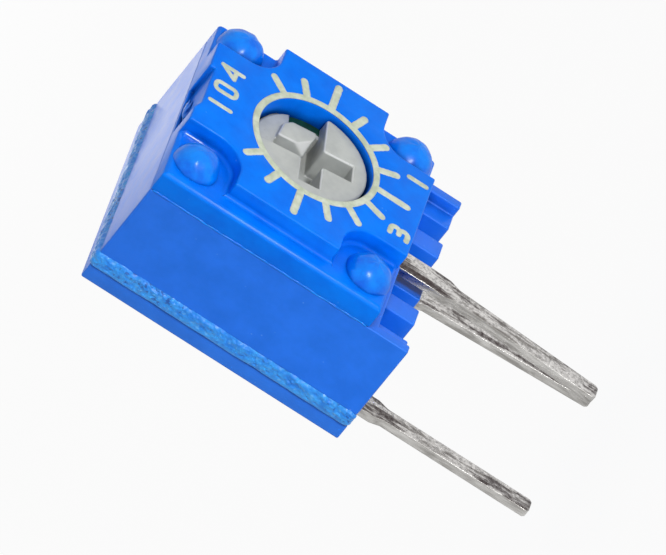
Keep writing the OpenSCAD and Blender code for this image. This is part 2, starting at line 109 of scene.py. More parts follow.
# %% Make the camera
def camera_axes(azimuth, elevation, roll):
    """Right, up and back of a camera, each of length 1. Azimuth 0 looks along +Y."""
    a, e, r = map(math.radians, (azimuth, elevation, roll))
    level = np.array([math.cos(a), math.sin(a), 0])
    rise = np.array([-math.sin(a) * math.sin(e), math.cos(a) * math.sin(e), math.cos(e)])
    back = np.array([math.sin(a) * math.cos(e), -math.cos(a) * math.cos(e), math.sin(e)])
    return math.cos(r) * level + math.sin(r) * rise, math.cos(r) * rise - math.sin(r) * level, back


VIEW_ANGLES = (-53.65, 9.24, -57.5)
LENS, SENSOR = 1100, 36
VIEW_DISTANCE = 515
AIM_RIGHT, AIM_UP = 0.797, -2.817
BODY_MIDDLE = np.array([0, -0.87, 4.5])
right, up, back = camera_axes(*VIEW_ANGLES)
aim = BODY_MIDDLE + AIM_RIGHT * right + AIM_UP * up

camera = bpy.data.objects.new("camera", bpy.data.cameras.new("camera"))
scene.collection.objects.link(camera)
camera.data.lens, camera.data.sensor_width = LENS, SENSOR
pose = np.eye(4)
pose[:3, 0], pose[:3, 1], pose[:3, 2] = right, up, back
pose[:3, 3] = (aim + VIEW_DISTANCE * back) * MM
camera.matrix_world = Matrix(pose.tolist())
scene.camera = camera
print("camera at", (pose[:3, 3] / MM).round(1), "mm")

# %% [markdown]
# ## Light and floor
#
# A plain studio: a white surround gives most of the light from all sides, and a soft lamp in
# front of the dial models the shapes and makes the small highlights on the round stake heads.
# A weak lamp behind the part stands where the upper end mirrors it, so that the end is pale
# with glare, and a faint one above lifts the back. The surround is pure white where the camera
# or a reflection looks at it, and dimmer as a light, so that the plastic shows its own colour.
#
# The floor could be a plain white plane, but its colour would then depend on the lamp. Here a
# part of it shines by itself for the camera, and the rest is lit, so it is white and still
# keeps the soft shadow of the part.

# %% Write the first helpers for node trees
def with_inputs(node, inputs):
    """Sets a node's named inputs. An underscore in a name stands for a space."""
    for name, value in inputs.items():
        node.inputs[name.replace("_", " ")].default_value = value
    return node


def node_of(tree, kind, **inputs):
    """Adds a shader node and sets its named inputs."""
    return with_inputs(tree.nodes.new(kind), inputs)


def join(tree, *pairs):
    """Links each pair of an output and an input."""
    for start, end in pairs:
        tree.links.new(start, end)


def put(tree, value, socket):
    """Gives a socket its value: a link from another socket, or a number or a colour."""
    if isinstance(value, bpy.types.NodeSocket):
        join(tree, (value, socket))
    else:
        socket.default_value = (*value, 1) if isinstance(value, tuple) else value


def math_node(tree, operation, a, b=None, clamp=False):
    """One step of arithmetic; a and b are sockets or numbers."""
    made = tree.nodes.new("ShaderNodeMath")
    made.operation, made.use_clamp = operation, clamp
    for value, socket in zip((a, b), made.inputs):
        if value is not None:
            put(tree, value, socket)
    return made.outputs[0]


def times(tree, a, b):
    """a times b."""
    return math_node(tree, "MULTIPLY", a, b)


print("first helpers for node trees are ready")

# %% Make the surround
def seen_directly(tree):
    """A mask that is 1 for camera, glossy and transmission rays, and 0 for the light."""
    ray = tree.nodes.new("ShaderNodeLightPath").outputs
    seen = math_node(tree, "ADD", ray["Is Camera Ray"], ray["Is Glossy Ray"], clamp=True)
    return math_node(tree, "ADD", seen, ray["Is Transmission Ray"], clamp=True)


def end_tree(tree, kind, mask, light, look):
    """Ends a tree with one shader where the mask is 0, for the light, and with another where
    it is 1, for the look."""
    choose = tree.nodes.new("ShaderNodeMixShader")
    join(tree, (mask, choose.inputs[0]), (light.outputs[0], choose.inputs[1]),
         (look.outputs[0], choose.inputs[2]), (choose.outputs[0], tree.nodes.new(kind).inputs[0]))


SURROUND = 0.42
world = bpy.data.worlds.new("surround")
scene.world = world
world.use_nodes = True
tree = world.node_tree
tree.nodes.clear()
dim = node_of(tree, "ShaderNodeBackground", Color=(1, 1, 1, 1), Strength=SURROUND)
white = node_of(tree, "ShaderNodeBackground", Color=(1, 1, 1, 1), Strength=1)
end_tree(tree, "ShaderNodeOutputWorld", seen_directly(tree), dim, white)
print("surround light", SURROUND)

# %% Make the lamps
def soft_lamp(name, toward, distance, size, level):
    """A round lamp that lights the body's middle with an irradiance of pi times level."""
    lamp = bpy.data.lights.new(name, "AREA")
    lamp.shape, lamp.size = "DISK", size * MM
    lamp.energy = level * (math.pi * distance * MM) ** 2
    holder = bpy.data.objects.new(name, lamp)
    scene.collection.objects.link(holder)
    way = np.array(toward) / np.linalg.norm(toward)
    side = np.cross([0, 0, 1], way)
    side /= np.linalg.norm(side)
    place = np.eye(4)
    place[:3, 0], place[:3, 1], place[:3, 2] = side, np.cross(way, side), way
    place[:3, 3] = (BODY_MIDDLE + distance * way) * MM
    holder.matrix_world = Matrix(place.tolist())
    holder.visible_camera = False


soft_lamp("front_lamp", toward=(-0.54, -0.84, -0.06), distance=90, size=18, level=0.71)
soft_lamp("back_lamp", toward=(0.79, 0.58, 0.2), distance=150, size=60, level=0.045)
soft_lamp("top_lamp", toward=(0.35, 0.2, 0.9), distance=140, size=60, level=0.06)

# %% Make the floor
FLOOR_GAP = 0.05
FLOOR_RADIUS = 900
FLOOR_POINTS = 96
FLOOR_GLOW = 0.92
PAPER_WHITE = (0.97, 0.97, 0.97, 1)


def disc_mesh(name, radius, z):
    """A flat disc: points at equal angles round a circle, joined to one face."""
    angle = np.linspace(0, 2 * np.pi, FLOOR_POINTS, endpoint=False)
    circle = [radius * np.cos(angle), radius * np.sin(angle), np.full(FLOOR_POINTS, z)]
    mesh = bpy.data.meshes.new(name)
    mesh.from_pydata((np.stack(circle, axis=1) * MM).tolist(), [], [list(range(FLOOR_POINTS))])
    return mesh


floor_z = cad_low[2] / MM - FLOOR_GAP
floor = bpy.data.objects.new("floor", disc_mesh("floor", FLOOR_RADIUS, floor_z))
scene.collection.objects.link(floor)
paper = bpy.data.materials.new("white_paper")
paper.use_nodes = True
tree = paper.node_tree
tree.nodes.clear()
lit = node_of(tree, "ShaderNodeBsdfDiffuse", Color=PAPER_WHITE)
glow = node_of(tree, "ShaderNodeEmission", Color=(1, 1, 1, 1), Strength=1)
end_tree(tree, "ShaderNodeOutputMaterial", times(tree, seen_directly(tree), FLOOR_GLOW), lit, glow)
floor.data.materials.append(paper)
print("floor at z =", round(floor_z, 2))

# %% [markdown]
# ## Effects that the materials share
#
# Moulded plastic isn't one flat colour. The mould leaves a fine grain and the colour drifts a
# little where the melt cooled. Edges are paler, a painted highlight that stands partly for
# rubbing in the bag, and grooves and inner corners are darker, a painted shade. Each effect
# could be built again in every material. A node group is built once and takes its own values
# in each one, and it gives back masks and heights, never a finished shader.

# %% Write a helper that makes node groups
def effect(name, outputs, **inputs):
    """An empty node group with named sockets for numbers. An input whose value is None takes
    coordinates, and an underscore in a name stands for a space."""
    group = bpy.data.node_groups.new(name, "ShaderNodeTree")
    for label, value in inputs.items():
        kind = "NodeSocketVector" if value is None else "NodeSocketFloat"
        socket = group.interface.new_socket(label.replace("_", " "), in_out="INPUT",
                                            socket_type=kind)
        if value is not None:
            socket.default_value = value
    for label in outputs:
        group.interface.new_socket(label, in_out="OUTPUT", socket_type="NodeSocketFloat")
    ends = group.nodes.new("NodeGroupInput"), group.nodes.new("NodeGroupOutput")
    return group, ends[0].outputs, ends[1].inputs


print("helper for node groups is ready")

# %% Write more helpers for the steps inside a tree
def remap(tree, value, from_low, from_high, to_low=0.0, to_high=1.0):
    """Stretches a value from one range to another, and keeps it inside."""
    made = node_of(tree, "ShaderNodeMapRange", From_Min=from_low, From_Max=from_high,
                   To_Min=to_low, To_Max=to_high)
    join(tree, (value, made.inputs["Value"]))
    return made.outputs["Result"]


def noise(tree, vector, scale, detail=3.0, roughness=0.5, distortion=0.0):
    """A noise texture's value on the given coordinates."""
    made = node_of(tree, "ShaderNodeTexNoise", Detail=detail, Roughness=roughness,
                   Distortion=distortion)
    put(tree, scale, made.inputs["Scale"])
    join(tree, (vector, made.inputs["Vector"]))
    return made.outputs["Fac"]


def in_mm(tree, vector):
    """Coordinates in metres turned into millimetres."""
    made = tree.nodes.new("ShaderNodeVectorMath")
    made.operation = "SCALE"
    made.inputs["Scale"].default_value = 1 / MM
    join(tree, (vector, made.inputs[0]))
    return made.outputs[0]


def own(tree, kind):
    """The part's own coordinates: Object is a point's place, Normal is the way it faces."""
    return tree.nodes.new("ShaderNodeTexCoord").outputs[kind]


def axes_of(tree, vector):
    """The X, Y and Z of a vector."""
    made = tree.nodes.new("ShaderNodeSeparateXYZ")
    join(tree, (vector, made.inputs["Vector"]))
    return made.outputs


def mixed(tree, mask, first, second):
    """Colour one where the mask is 0 and colour two where it is 1; each a colour or a socket."""
    made = tree.nodes.new("ShaderNodeMix")
    made.data_type = "RGBA"
    sockets = {(s.name, s.type): s for s in made.inputs}
    put(tree, mask, sockets["Factor", "VALUE"])
    put(tree, first, sockets["A", "RGBA"])
    put(tree, second, sockets["B", "RGBA"])
    return [s for s in made.outputs if s.type == "RGBA"][0]


def laid_over(tree, base, colour, mask, share):
    """The base with a colour over it: share of it where the mask is 1, none where it is 0."""
    return mixed(tree, times(tree, mask, share), base, colour)


print("all helpers for node trees are ready")

# %% Build the mould grain
# Height is a fine grain with a softer ripple under it. Patches is a slow drift, for the colour.
FINE_SHARE = 0.3
GRAIN, grain_in, grain_out = effect("mould_grain", ("Height", "Patches"), Vector=None,
                                    Grain_per_mm=18.0, Ripple_per_mm=1.4)
grain_at = in_mm(GRAIN, grain_in["Vector"])
fine = noise(GRAIN, grain_at, grain_in["Grain per mm"], detail=2.0, roughness=0.6)
slow = noise(GRAIN, grain_at, grain_in["Ripple per mm"], detail=3.0, roughness=0.55)
both = math_node(GRAIN, "ADD", times(GRAIN, fine, FINE_SHARE), slow)
join(GRAIN, (both, grain_out["Height"]), (remap(GRAIN, slow, 0.34, 0.66), grain_out["Patches"]))
print("group:", GRAIN.name)

# %% Build the edges for painted highlights and wear
# Where a rounded copy of the surface would turn away from the surface itself, there is an edge.
# The blue plastics pale their colour by this mask: a painted highlight that stands partly for
# rubbing.
EVENNESS = 0.2
EDGES, edges_in, edges_out = effect("edge_wear_and_highlight", ("Mask",), Vector=None, Width=0.05 * MM)
rounded = EDGES.nodes.new("ShaderNodeBevel")
rounded.samples = 4
true_face = EDGES.nodes.new("ShaderNodeNewGeometry")
agree = EDGES.nodes.new("ShaderNodeVectorMath")
agree.operation = "DOT_PRODUCT"
join(EDGES, (edges_in["Width"], rounded.inputs["Radius"]),
     (rounded.outputs["Normal"], agree.inputs[0]), (true_face.outputs["Normal"], agree.inputs[1]))
turn = remap(EDGES, agree.outputs["Value"], 0.995, 0.86)
patchy = remap(EDGES, noise(EDGES, in_mm(EDGES, edges_in["Vector"]), 2.2, detail=4.0), 0.38, 0.62)
broken = math_node(EDGES, "ADD", patchy, EVENNESS, clamp=True)
join(EDGES, (times(EDGES, turn, broken), edges_out["Mask"]))
print("group:", EDGES.name)

# %% Build the crevices
# How much of the surroundings a point can see close by: little in a groove or an inner corner.
# The materials darken their colour by this mask, which is painted shade.
CREVICES, crevices_in, crevices_out = effect("crevices", ("Mask",), Reach=0.3 * MM)
hidden = CREVICES.nodes.new("ShaderNodeAmbientOcclusion")
hidden.samples = 8
join(CREVICES, (crevices_in["Reach"], hidden.inputs["Distance"]),
     (remap(CREVICES, hidden.outputs["AO"], 0.86, 0.4), crevices_out["Mask"]))
print("group:", CREVICES.name)

# %% Build the dust
# Small specks that lie here and there: the middle of some cells of a cell pattern.
DUST, dust_in, dust_out = effect("dust_specks", ("Mask",), Vector=None, Specks_per_mm=3.0)
dust_at = in_mm(DUST, dust_in["Vector"])
cells = DUST.nodes.new("ShaderNodeTexVoronoi")
join(DUST, (dust_at, cells.inputs["Vector"]), (dust_in["Specks per mm"], cells.inputs["Scale"]))
centre = remap(DUST, cells.outputs["Distance"], 0.10, 0.04)
sparse = remap(DUST, noise(DUST, dust_at, 0.9, detail=2.0), 0.52, 0.6)
join(DUST, (times(DUST, centre, sparse), dust_out["Mask"]))
print("group:", DUST.name)

# %% Write helpers that start and end a material
def finish_of(name, roughness, metallic=0.0, specular=0.5, coat_roughness=0.1):
    """A new material with one Principled shader, and the part's own coordinates."""
    made = bpy.data.materials.new(name)
    made.use_nodes = True
    tree = made.node_tree
    shader = with_inputs(tree.nodes["Principled BSDF"], {
        "Roughness": roughness, "Metallic": metallic, "Specular IOR Level": specular,
        "Coat Roughness": coat_roughness})
    return made, tree, shader, own(tree, "Object")


def facing_y(tree):
    """1 where the part's surface faces straight forward or back, and 0 on its sides."""
    return math_node(tree, "ABSOLUTE", axes_of(tree, own(tree, "Normal"))["Y"])


def placed(tree, group, place, **inputs):
    """A node group in a material, on the given coordinates. Gives back its outputs."""
    made = tree.nodes.new("ShaderNodeGroup")
    made.node_tree = group
    if "Vector" in made.inputs:
        join(tree, (place, made.inputs["Vector"]))
    return with_inputs(made, inputs).outputs


def feed(tree, shader, height, depth, **sources):
    """Links each source to the shader's socket of that name, and raises the surface by height
    times depth, in millimetres."""
    for name, source in sources.items():
        join(tree, (source, shader.inputs[name.replace("_", " ")]))
    bump = node_of(tree, "ShaderNodeBump", Strength=1.0, Distance=depth * MM)
    join(tree, (height, bump.inputs["Height"]), (bump.outputs["Normal"], shader.inputs["Normal"]))


print("helpers for materials are ready")

# %% [markdown]
# ## Blue plastic
#
# The cover, the housing and the lid are moulded from the same blue plastic, filled with glass
# fibre. It is a little shiny, with a fine grain and a slight drift of tone. Its edges are paler,
# a painted highlight that stands partly for rubbing, and its grooves and inner corners are
# darker, a painted shade. The three pieces differ a little in tone, set so that the cover's
# front and the sides of the housing and the lid come out as bright as they should under the
# lamps: lighter and darker copies of one blue, which is painted light. Where the plastic was
# melted, torn or squeezed out it is glossier. One function makes all four, with the values of
# each.

# %% Write the blue plastic
BLUE_ROUGHNESS = 0.38
BLUE_EDGE_GLAZE = 0.5
BLUE_DUST, BLUE_SHADE = (0.2, 0.5, 0.95), (0.0, 0.02, 0.16)


def blue_plastic(name, deep, light, edge, grain=18.0, ripple=1.4, depth=0.004, coat=0.08,
                 specular=0.06, coat_roughness=0.2):
    """Blue plastic: deep and light are the two tones that drift, edge is the paler colour laid
    along edges, a painted highlight that stands partly for rubbing. Grooves and inner corners
    are darkened toward BLUE_SHADE, a painted shade. The skin is dull, and shinier where the
    mould's edges pressed it."""
    made, tree, shader, place = finish_of(name, BLUE_ROUGHNESS, specular=specular,
                                          coat_roughness=coat_roughness)
    skin = placed(tree, GRAIN, place, Grain_per_mm=grain, Ripple_per_mm=ripple)
    edges = placed(tree, EDGES, place, Width=0.05 * MM)["Mask"]
    dust = placed(tree, DUST, place, Specks_per_mm=3.2)["Mask"]
    low = placed(tree, CREVICES, place, Reach=0.4 * MM)["Mask"]
    tone = mixed(tree, skin["Patches"], deep, light)
    # Painted highlight along the edges, standing partly for rubbing.
    edge_highlighted = laid_over(tree, tone, edge, edges, 0.5)
    dusty = laid_over(tree, edge_highlighted, BLUE_DUST, dust, 0.3)
    # Painted shade: grooves and inner corners darkened toward BLUE_SHADE.
    shaded = laid_over(tree, dusty, BLUE_SHADE, low, 0.75)
    shine = remap(tree, skin["Height"], 0.3, 0.9, BLUE_ROUGHNESS - 0.06, BLUE_ROUGHNESS + 0.1)
    glaze = remap(tree, edges, 0.0, 1.0, coat, BLUE_EDGE_GLAZE)
    feed(tree, shader, skin["Height"], depth, Base_Color=shaded, Roughness=shine,
         Coat_Weight=glaze)
    return made, glaze


print("the blue plastic can be mixed")

# %% Make the four blues
# The cover's, the housing's and the lid's tones were set so that the cover's front and the sides
# of the housing and the lid come out as bright as they should under the lamps: lighter and darker
# copies of one blue, which is painted light.
COVER_BLUE, cover_glaze = blue_plastic(
    "cover_blue", (0.0, 0.17, 0.9), (0.0, 0.215, 1.0), (0.0, 0.4, 1.0), depth=0.006)
BODY_BLUE, _ = blue_plastic(
    "body_blue", (0.006, 0.165, 0.83), (0.012, 0.19, 0.93), (0.04, 0.38, 1.0),
    grain=11.0, depth=0.009, coat=0.2, specular=0.2)
LID_BLUE, _ = blue_plastic(
    "lid_blue", (0.02, 0.185, 0.82), (0.026, 0.215, 0.92), (0.06, 0.36, 0.98),
    coat=0.2, specular=0.14)
MELTED_BLUE, _ = blue_plastic(
    "melted_blue", (0.0, 0.155, 0.84), (0.0, 0.25, 0.98), (0.0, 0.42, 1.0),
    grain=6.0, ripple=2.6, depth=0.02, coat=0.42, coat_roughness=0.24)
print("blue finishes:", COVER_BLUE.name, BODY_BLUE.name, LID_BLUE.name, MELTED_BLUE.name)

# %% Polish the foot of the cover's upper left notch
POLISH_MIDDLE, POLISH_REACH = (-1.56, -0.87, 7.43), (0.2, 0.2, 0.29)
SOFT_EDGE = 0.05


def polish_notch(material, glaze):
    """Gives the cover a full shine in the corner at the foot of the dial plate's upper left
    notch, where the mould was polished: a short box with soft edges round that corner."""
    tree = material.node_tree
    place = axes_of(tree, own(tree, "Object"))
    box = 1.0
    for axis, middle, reach in zip("XYZ", POLISH_MIDDLE, POLISH_REACH):
        off = math_node(tree, "ABSOLUTE", math_node(tree, "SUBTRACT", place[axis], middle * MM))
        inside = remap(tree, off, (reach + SOFT_EDGE) * MM, (reach - SOFT_EDGE) * MM)
        box = times(tree, inside, box)
    shiny = math_node(tree, "MAXIMUM", box, glaze)
    join(tree, (shiny, tree.nodes["Principled BSDF"].inputs["Coat Weight"]))


polish_notch(COVER_BLUE, cover_glaze)
print("polished at", POLISH_MIDDLE)

# %% [markdown]
# ## Grey rotor plastic, green rubber and ink
#
# The rotor is a warm light grey and matt. Its low places are darker, a painted shade, its
# rounded edges paler, a painted highlight, and a few specks of dust lie on it. Under it lies a
# dark green rubber ring that keeps water out. The dial is printed in cream ink, which lies a
# few hundredths of a millimetre thick, so it has soft edges and pinholes.

# %% Make the rotor's finish
def rotor_grey():
    """Light grey plastic. Its grooves and corners are darker and warmer, a painted shade, and the
    rounded edges that stand out are paler, a painted highlight: there the object's own normal
    lies between the face's and the walls'."""
    made, tree, shader, place = finish_of("rotor_grey", 0.46, specular=0.3, coat_roughness=0.24)
    skin = placed(tree, GRAIN, place, Grain_per_mm=22.0, Ripple_per_mm=2.2)
    dust = placed(tree, DUST, place, Specks_per_mm=4.0)["Mask"]
    low = placed(tree, CREVICES, place, Reach=0.5 * MM)["Mask"]
    tone = mixed(tree, skin["Patches"], (0.44, 0.46, 0.45), (0.52, 0.54, 0.52))
    # Painted shade: grooves and corners darkened toward a warm dark grey.
    shaded = laid_over(tree, tone, (0.12, 0.11, 0.1), low, 0.3)
    # Painted highlight: rounded edges that stand out are paled toward white, and get more coat.
    slant = facing_y(tree)
    rounding = times(tree, remap(tree, slant, 0.2, 0.4), remap(tree, slant, 0.9, 0.78))
    painted_highlight_edges = times(tree, rounding, remap(tree, low, 0.5, 0.1))
    edge_highlighted = laid_over(tree, shaded, (0.86, 0.87, 0.87), painted_highlight_edges, 0.55)
    dirty = laid_over(tree, edge_highlighted, (0.2, 0.2, 0.18), dust, 0.3)
    feed(tree, shader, skin["Height"], 0.004, Base_Color=dirty,
         Roughness=remap(tree, skin["Height"], 0.3, 0.9, 0.38, 0.56),
         Coat_Weight=remap(tree, painted_highlight_edges, 0.0, 1.0, 0.12, 0.8))
    return made


ROTOR_GREY = rotor_grey()
print("finish:", ROTOR_GREY.name)

# %% Make the rubber and the ink
def green_rubber():
    """Dark green rubber with a dull bloom."""
    made, tree, shader, place = finish_of("green_rubber", 0.6, specular=0.3)
    skin = placed(tree, GRAIN, place, Grain_per_mm=12.0, Ripple_per_mm=3.0)
    tone = mixed(tree, skin["Patches"], (0.0, 0.022, 0.011), (0.0, 0.045, 0.022))
    feed(tree, shader, skin["Height"], 0.008, Base_Color=tone)
    return made


def cream_ink():
    """Printed ink: cream, thin in places so that blue shows through pinholes."""
    made, tree, shader, place = finish_of("cream_ink", 0.5, specular=0.35)
    skin = placed(tree, GRAIN, place, Grain_per_mm=16.0, Ripple_per_mm=4.0)
    holes = placed(tree, DUST, place, Specks_per_mm=7.0)["Mask"]
    tone = mixed(tree, skin["Patches"], (0.5, 0.56, 0.42), (0.68, 0.73, 0.6))
    thin = laid_over(tree, tone, (0.2, 0.4, 0.6), holes, 0.6)
    feed(tree, shader, skin["Height"], 0.006, Base_Color=thin)
    return made


GREEN_RUBBER = green_rubber()
CREAM_INK = cream_ink()
print("finishes:", GREEN_RUBBER.name, CREAM_INK.name)

# %% [markdown]
# ## Tinned leads
#
# The leads are stamped from tinned sheet. The broad faces keep the dull, mottled tin with its
# dark blotches, and the cut sides are bright and clean. The blotches are noise on coordinates
# that are squeezed along the lead, which stretches the pattern. A picture of scratches would
# do as well, but it would need to be wrapped round each lead.

# %% Make the tin finish
def tinned():
    """Tin: the sheet's broad faces are dull and mottled with dark blotches, most of them near
    the body and the tip, and its cut sides, which face sideways, are clean and bright. The
    object's own normal tells them apart."""
    made, tree, shader, place = finish_of("tinned_lead", 0.3, metallic=1.0)
    squeeze = node_of(tree, "ShaderNodeMapping", Scale=(5.0 / MM, 5.0 / MM, 0.9 / MM))
    join(tree, (place, squeeze.inputs["Vector"]))
    drawn = squeeze.outputs["Vector"]
    runs = noise(tree, drawn, 1.0, detail=5.0, roughness=0.65, distortion=0.5)
    blots = noise(tree, drawn, 0.55, detail=4.0, roughness=0.6)
    mottle = noise(tree, place, 11.0 / MM, detail=3.0, roughness=0.7)
    dull = mixed(tree, remap(tree, mottle, 0.34, 0.58), (0.34, 0.33, 0.32), (0.74, 0.72, 0.7))
    streaked = mixed(tree, remap(tree, runs, 0.49, 0.4, 0.0, 0.8), dull, (0.14, 0.125, 0.115))
    along = axes_of(tree, place)["Z"]
    by_body = remap(tree, along, -1.7 * MM, -0.8 * MM, 0.0, 0.125)
    by_tip = remap(tree, along, -3.0 * MM, -3.8 * MM, 0.0, 0.075)
    stained = math_node(tree, "MAXIMUM", by_body, by_tip)
    dark_part = times(tree, remap(tree, mottle, 0.34, 0.62, 1.0, 0.7),
                      remap(tree, math_node(tree, "SUBTRACT", blots, stained), 0.43, 0.37))
    blotted = mixed(tree, dark_part, streaked, (0.06, 0.045, 0.045))
    bright = mixed(tree, remap(tree, runs, 0.38, 0.62), (0.3, 0.29, 0.275), (0.58, 0.57, 0.55))
    broad = remap(tree, facing_y(tree), 0.6, 0.95)
    height = math_node(tree, "ADD", mottle, times(tree, runs, 2.0))
    feed(tree, shader, height, 0.009, Base_Color=mixed(tree, broad, bright, blotted),
         Roughness=remap(tree, mottle, 0.3, 0.7, 0.44, 0.22))
    return made


TIN = tinned()
print("finish:", TIN.name)

# %% [markdown]
# ## Epoxy in the seam
#
# The back is sealed with blue epoxy. It wells out of the seam, sets with a rough, crumbly
# skin and catches the light on many small grains. Its large lumps are real shape, made below.
# Its finish adds the finest grains, some pale and glossy and some dark: the pale ones are a
# painted highlight on the grains' tops and the dark ones a painted shade in the pits between
# them. A paler line along the lip at the lid is a painted highlight too.

# %% Make the epoxy finish
def epoxy():
    """Blue epoxy: over a mid blue, pale grains that are a painted highlight on their tops and dark
    grains that are a painted shade in the hollows, glossy on top of the grains, and an even
    painted highlight along the bead's edge at the lid."""
    made, tree, shader, place = finish_of("blue_epoxy", 0.34)
    at = in_mm(tree, place)
    lumps = noise(tree, at, 4.0, detail=3.0, roughness=0.6, distortion=0.4)
    grains = noise(tree, at, 7.0, detail=2.0, roughness=0.55)
    crumbly = remap(tree, noise(tree, at, 0.5, detail=0.0), 0.46, 0.58)
    pale = mixed(tree, remap(tree, lumps, 0.36, 0.64), (0.01, 0.24, 0.86), (0.03, 0.37, 0.97))
    # Painted highlight on the tops of the finest grains.
    grain_highlighted = mixed(tree, remap(tree, grains, 0.58, 0.7, 0.0, 0.4), pale, (0.2, 0.6, 1.0))
    # Painted shade in the pits between the grains.
    pit_shade = times(tree, remap(tree, grains, 0.44, 0.36), crumbly)
    pit_shaded = laid_over(tree, grain_highlighted, (0.0, 0.06, 0.34), pit_shade, 0.75)
    # Painted highlight: a paler, even line along the lip at the lid.
    lip_highlight = remap(tree, axes_of(tree, at)["Y"], BEAD_HIGH[1] - 0.13, BEAD_HIGH[1] - 0.03, 0.0, 0.75)
    rough_skin = times(tree, grains, math_node(tree, "ADD", crumbly, 0.25))
    feed(tree, shader, math_node(tree, "ADD", lumps, rough_skin), 0.016,
         Base_Color=mixed(tree, lip_highlight, pit_shaded, (0.05, 0.36, 0.94)),
         Roughness=remap(tree, lumps, 0.35, 0.65, 0.46, 0.24))
    return made


BLUE_EPOXY = epoxy()
print("finish:", BLUE_EPOXY.name)

# %% [markdown]
# ## Finishes inside the part
#
# The wiper, the ceramic plate with its printed films, and the solder can't be seen from
# outside, but someone who takes the part apart sees them. Each gets a simple finish of its
# own, from the same grain.

# %% Make the inner finishes
def inner_finish(name, dark, light, roughness, metallic=0.0):
    """Two tones that drift, with a fine grain."""
    made, tree, shader, place = finish_of(name, roughness, metallic=metallic)
    skin = placed(tree, GRAIN, place, Grain_per_mm=10.0, Ripple_per_mm=1.8)
    shine = remap(tree, skin["Height"], 0.3, 0.9, roughness - 0.08, roughness + 0.08)
    feed(tree, shader, skin["Height"], 0.003, Base_Color=mixed(tree, skin["Patches"], dark, light),
         Roughness=shine)
    return made


SILVER = ((0.55, 0.54, 0.5), (0.72, 0.71, 0.68), 0.42, 0.9)
INNER = {
    "wiper": inner_finish("spring_alloy", (0.5, 0.36, 0.16), (0.66, 0.5, 0.26), 0.28, 1.0),
    "substrate": inner_finish("ceramic", (0.76, 0.74, 0.68), (0.86, 0.84, 0.8), 0.62),
    "resistive_track": inner_finish("cermet_film", (0.012, 0.012, 0.014), (0.03, 0.03, 0.034),
                                    0.4),
    "end_conductors": inner_finish("silver_print", *SILVER),
    "collector": inner_finish("silver_print_middle", *SILVER),
    "solder_joints": inner_finish("solder", (0.42, 0.42, 0.42), (0.62, 0.62, 0.62), 0.3, 1.0),
    "seal_ring": GREEN_RUBBER,
}
for node, finish in INNER.items():
    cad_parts[node].data.materials.clear()
    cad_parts[node].data.materials.append(finish)
print("inner finishes:", sorted(INNER))

# %% [markdown]
# ## Rounded copies of the moulded solids
#
# A moulded edge is never perfectly sharp: a thin line of light runs along it. So the cover, the
# housing, the lid, the rotor and the leads are copies of their solids with rounded edges. The
# copy's loose triangles are merged, flat faces are made whole, and a Bevel modifier rounds
# each sharp edge by its own weight. Inner corners get a small fillet from the same modifier,
# as a mould's cutter leaves it. Modelling each piece again would risk its fit.

# %% Write the function that rounds a copy
FLAT_ANGLE = math.radians(0.5)
SHARP_ANGLE = math.radians(28)
MERGE = 0.0004


def rounded_copy(node, name, width, weight=None, segments=3, merge=MERGE):
    """A copy of a CAD node with rounded edges. The rounding of an edge is width times its
    weight, in millimetres; weight is a function of the edges' middles and their angles,
    which are above zero where an edge stands out and below zero in an inner corner."""
    piece = bpy.data.objects.new(name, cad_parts[node].data.copy())
    scene.collection.objects.link(piece)
    work = bmesh.new()
    work.from_mesh(piece.data)
    bmesh.ops.remove_doubles(work, verts=work.verts, dist=merge * MM)
    bmesh.ops.dissolve_limit(work, angle_limit=FLAT_ANGLE, verts=work.verts, edges=work.edges)
    work.edges.ensure_lookup_table()
    angle = np.array([e.calc_face_angle_signed(0.0) for e in work.edges])
    middle = np.array([(e.verts[0].co + e.verts[1].co) / 2 for e in work.edges]) / MM
    share = np.where(np.abs(angle) > SHARP_ANGLE, 1.0, 0.0)
    if weight is not None:
        share = share * weight(middle, angle)
    layer = work.edges.layers.float.new("bevel_weight_edge")
    for edge, value, turn in zip(work.edges, share, angle):
        edge[layer] = value
        edge.smooth = abs(turn) <= SHARP_ANGLE or value > 0
    for face in work.faces:
        face.smooth = True
    work.to_mesh(piece.data)
    work.free()
    bevel = piece.modifiers.new("rounded_edges", "BEVEL")
    bevel.limit_method, bevel.width, bevel.segments = "WEIGHT", width * MM, segments
    bevel.use_clamp_overlap, bevel.harden_normals = False, True
    return piece


def wear(piece, finish, slot, *nodes, body="housing_body"):
    """Gives a piece its finish and its body, and hides the CAD nodes that it stands for.
    The slot is not used.
    """
    piece.data.materials.clear()
    piece.data.materials.append(finish)
    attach(piece, body)
    if nodes:
        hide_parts(*nodes)


print("edges sharper than", round(math.degrees(SHARP_ANGLE)), "degrees are rounded")

# %% Round the cover
COVER_ROUND = 0.12
FLANGE_T = 0.68
FLANGE_Y = COVER_HIGH[1] - FLANGE_T
SAME_LEVEL = 0.02


def cover_weight(middle, angle):
    """Inner corners round the dial plate's foot get the widest fillet. The dial plate's own
    edges are next, and the edges at the parting line are the finest."""
    at_foot = (angle < 0) & (np.abs(middle[:, 1] - FLANGE_Y) < SAME_LEVEL)
    at_plate = np.abs(middle[:, 1] - PLATE_Y) < SAME_LEVEL
    return np.where(at_foot, 1.0, np.where(at_plate, 0.55, 0.35))


cover = rounded_copy("dial_cover", "cover_shell", COVER_ROUND, cover_weight)
wear(cover, COVER_BLUE, "cover_plastic", "dial_cover")
print("cover edges:", len(cover.data.edges))

